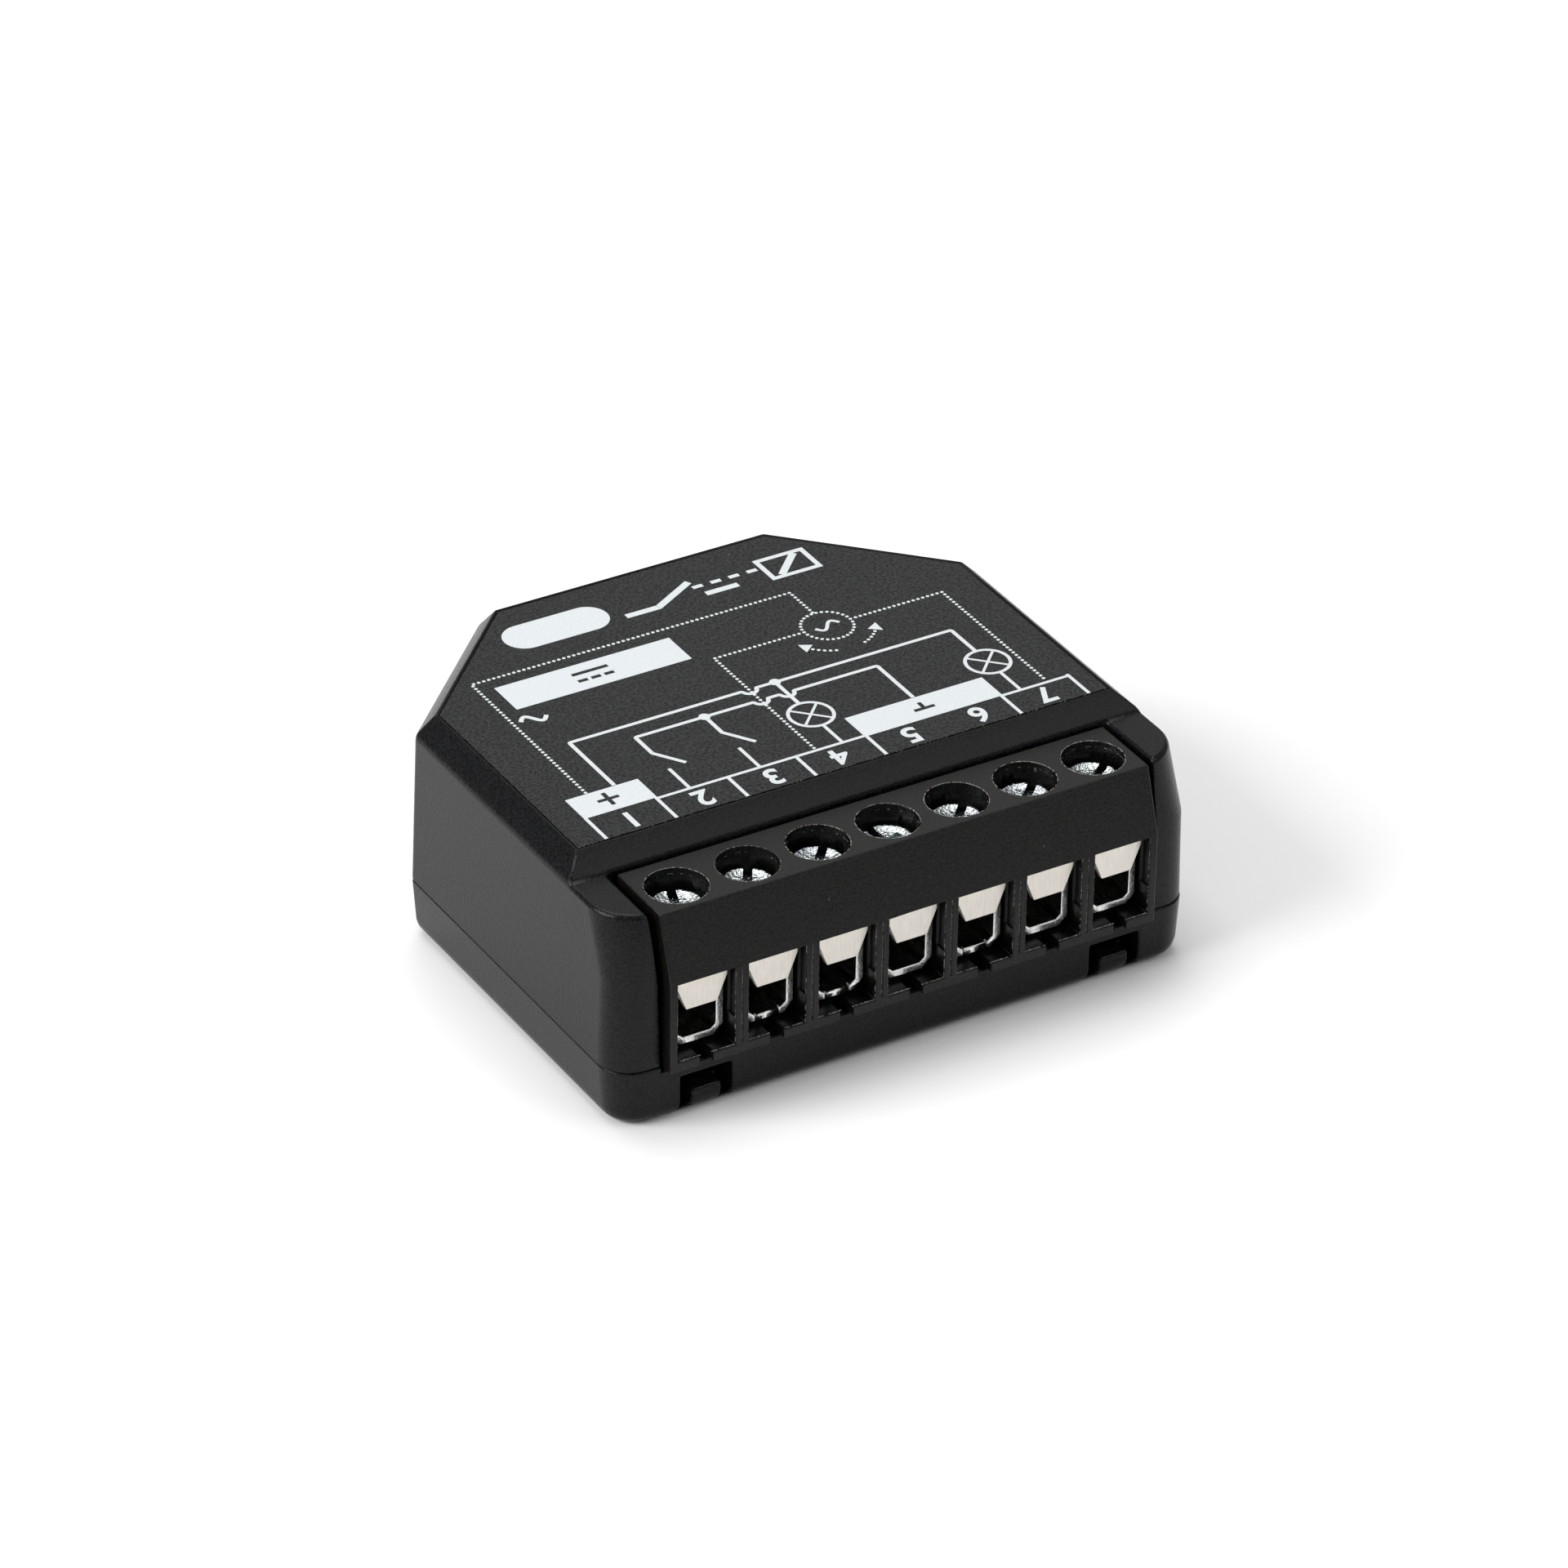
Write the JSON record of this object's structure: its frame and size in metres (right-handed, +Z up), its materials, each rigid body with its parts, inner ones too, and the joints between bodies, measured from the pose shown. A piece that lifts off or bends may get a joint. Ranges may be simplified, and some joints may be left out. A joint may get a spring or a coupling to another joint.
{
  "type": "smart relay module",
  "caption": "Flat black flush-mount relay module with bevelled rear corners, a screw terminal row with cage clamps, and relays, supply and radio boards inside.",
  "frame": {"origin": "middle of the underside, at the centre of the part's plan box", "axes": "+X along the terminal row, +Y from the wire ports to the back, +Z up through the label"},
  "size_m": [0.042, 0.037, 0.016],
  "materials": {
    "shell_black": "fine moulded grain",
    "label_film": "matt film with white print",
    "block_black": "plain moulded, slightly brownish",
    "screw_zinc": "bright zinc plating",
    "cage_steel": "bright plating",
    "contact_tin": "satin tin plating",
    "board_green": "solder resist",
    "board_blue": "solder resist",
    "shield_steel": "plain sheet",
    "inner_black": "plain moulded",
    "ferrite": "sintered",
    "bobbin_nylon": "plain moulded",
    "winding_tape": "polyester tape",
    "capacitor_sleeve": "shrunk sleeve",
    "varistor_blue": "dipped epoxy",
    "resistor_tan": "cement coat",
    "button_grey": "plain moulded",
    "lamp_clear": "clear epoxy",
    "relay_blue": "moulded",
    "copper_wire": "enamelled wire",
    "relay_iron": "plated soft iron",
    "spring_bronze": "rolled strip"
  },
  "bodies": {
    "module": {"upper_shell": "shell_black", "lower_shell": "shell_black", "label_plate": "label_film", "terminal_block": "block_black", "main_board": "board_green", "radio_board": "board_blue", "radio_shield": "shield_steel", "radio_header": "inner_black", "transformer_core": "ferrite", "transformer_bobbin": "bobbin_nylon", "transformer_winding": "winding_tape", "input_capacitor": "capacitor_sleeve", "output_capacitor": "capacitor_sleeve", "varistor": "varistor_blue", "fuse_resistor": "resistor_tan", "bridge_rectifier": "inner_black", "supply_chip": "inner_black", "metering_chips": "inner_black", "control_switch": "shield_steel", "status_lamp": "lamp_clear", "contact_plate_1": "contact_tin", "contact_plate_2": "contact_tin", "contact_plate_3": "contact_tin", "contact_plate_4": "contact_tin", "contact_plate_5": "contact_tin", "contact_plate_6": "contact_tin", "contact_plate_7": "contact_tin", "relay_base_1": "inner_black", "relay_cover_1": "relay_blue", "relay_bobbin_1": "bobbin_nylon", "relay_winding_1": "copper_wire", "relay_core_1": "relay_iron", "relay_contact_1": "spring_bronze", "relay_base_2": "inner_black", "relay_cover_2": "relay_blue", "relay_bobbin_2": "bobbin_nylon", "relay_winding_2": "copper_wire", "relay_core_2": "relay_iron", "relay_contact_2": "spring_bronze"},
    "screw_1": {"terminal_screw_1": "screw_zinc"},
    "cage_1": {"clamp_cage_1": "cage_steel"},
    "screw_2": {"terminal_screw_2": "screw_zinc"},
    "cage_2": {"clamp_cage_2": "cage_steel"},
    "screw_3": {"terminal_screw_3": "screw_zinc"},
    "cage_3": {"clamp_cage_3": "cage_steel"},
    "screw_4": {"terminal_screw_4": "screw_zinc"},
    "cage_4": {"clamp_cage_4": "cage_steel"},
    "screw_5": {"terminal_screw_5": "screw_zinc"},
    "cage_5": {"clamp_cage_5": "cage_steel"},
    "screw_6": {"terminal_screw_6": "screw_zinc"},
    "cage_6": {"clamp_cage_6": "cage_steel"},
    "screw_7": {"terminal_screw_7": "screw_zinc"},
    "cage_7": {"clamp_cage_7": "cage_steel"},
    "button": {"control_button": "button_grey"},
    "armature_1": {"relay_armature_1": "relay_iron", "relay_spring_1": "spring_bronze"},
    "armature_2": {"relay_armature_2": "relay_iron", "relay_spring_2": "spring_bronze"}
  },
  "joints": [
    {"name": "screw_turn_1", "type": "hinge", "parent": "module", "child": "screw_1", "pos_m": [-0.015, -0.01464, 0.0119], "axis": [0, 0, -1], "range_deg": [0, 1681]},
    {"name": "cage_rise_1", "type": "slide", "parent": "module", "child": "cage_1", "axis": [0, 0, 1], "range_m": [0, 0.0021]},
    {"name": "screw_turn_2", "type": "hinge", "parent": "module", "child": "screw_2", "pos_m": [-0.01, -0.01464, 0.0119], "axis": [0, 0, -1], "range_deg": [0, 1681]},
    {"name": "cage_rise_2", "type": "slide", "parent": "module", "child": "cage_2", "axis": [0, 0, 1], "range_m": [0, 0.0021]},
    {"name": "screw_turn_3", "type": "hinge", "parent": "module", "child": "screw_3", "pos_m": [-0.005, -0.01464, 0.0119], "axis": [0, 0, -1], "range_deg": [0, 1681]},
    {"name": "cage_rise_3", "type": "slide", "parent": "module", "child": "cage_3", "axis": [0, 0, 1], "range_m": [0, 0.0021]},
    {"name": "screw_turn_4", "type": "hinge", "parent": "module", "child": "screw_4", "pos_m": [0, -0.01464, 0.0119], "axis": [0, 0, -1], "range_deg": [0, 1681]},
    {"name": "cage_rise_4", "type": "slide", "parent": "module", "child": "cage_4", "axis": [0, 0, 1], "range_m": [0, 0.0021]},
    {"name": "screw_turn_5", "type": "hinge", "parent": "module", "child": "screw_5", "pos_m": [0.005, -0.01464, 0.0119], "axis": [0, 0, -1], "range_deg": [0, 1681]},
    {"name": "cage_rise_5", "type": "slide", "parent": "module", "child": "cage_5", "axis": [0, 0, 1], "range_m": [0, 0.0021]},
    {"name": "screw_turn_6", "type": "hinge", "parent": "module", "child": "screw_6", "pos_m": [0.01, -0.01464, 0.0119], "axis": [0, 0, -1], "range_deg": [0, 1681]},
    {"name": "cage_rise_6", "type": "slide", "parent": "module", "child": "cage_6", "axis": [0, 0, 1], "range_m": [0, 0.0021]},
    {"name": "screw_turn_7", "type": "hinge", "parent": "module", "child": "screw_7", "pos_m": [0.015, -0.01464, 0.0119], "axis": [0, 0, -1], "range_deg": [0, 1681]},
    {"name": "cage_rise_7", "type": "slide", "parent": "module", "child": "cage_7", "axis": [0, 0, 1], "range_m": [0, 0.0021]},
    {"name": "button_press", "type": "slide", "parent": "module", "child": "button", "axis": [0, 0, 1], "range_m": [0, 0.0003], "stiffness_N_per_m": 1000},
    {"name": "relay_pull_1", "type": "hinge", "parent": "module", "child": "armature_1", "pos_m": [-0.0054, -0.00718, 0.0121], "axis": [1, 0, 0], "range_deg": [0, 2.6], "stiffness_Nm_per_rad": 0.02},
    {"name": "relay_pull_2", "type": "hinge", "parent": "module", "child": "armature_2", "pos_m": [0.0054, -0.00718, 0.0121], "axis": [1, 0, 0], "range_deg": [0, 2.6], "stiffness_Nm_per_rad": 0.02}
  ],
  "couplings": [
    {"joint": "screw_turn_1", "follows": "cage_rise_1", "rad_per_m": 13963},
    {"joint": "screw_turn_2", "follows": "cage_rise_2", "rad_per_m": 13963},
    {"joint": "screw_turn_3", "follows": "cage_rise_3", "rad_per_m": 13963},
    {"joint": "screw_turn_4", "follows": "cage_rise_4", "rad_per_m": 13963},
    {"joint": "screw_turn_5", "follows": "cage_rise_5", "rad_per_m": 13963},
    {"joint": "screw_turn_6", "follows": "cage_rise_6", "rad_per_m": 13963},
    {"joint": "screw_turn_7", "follows": "cage_rise_7", "rad_per_m": 13963}
  ]
}
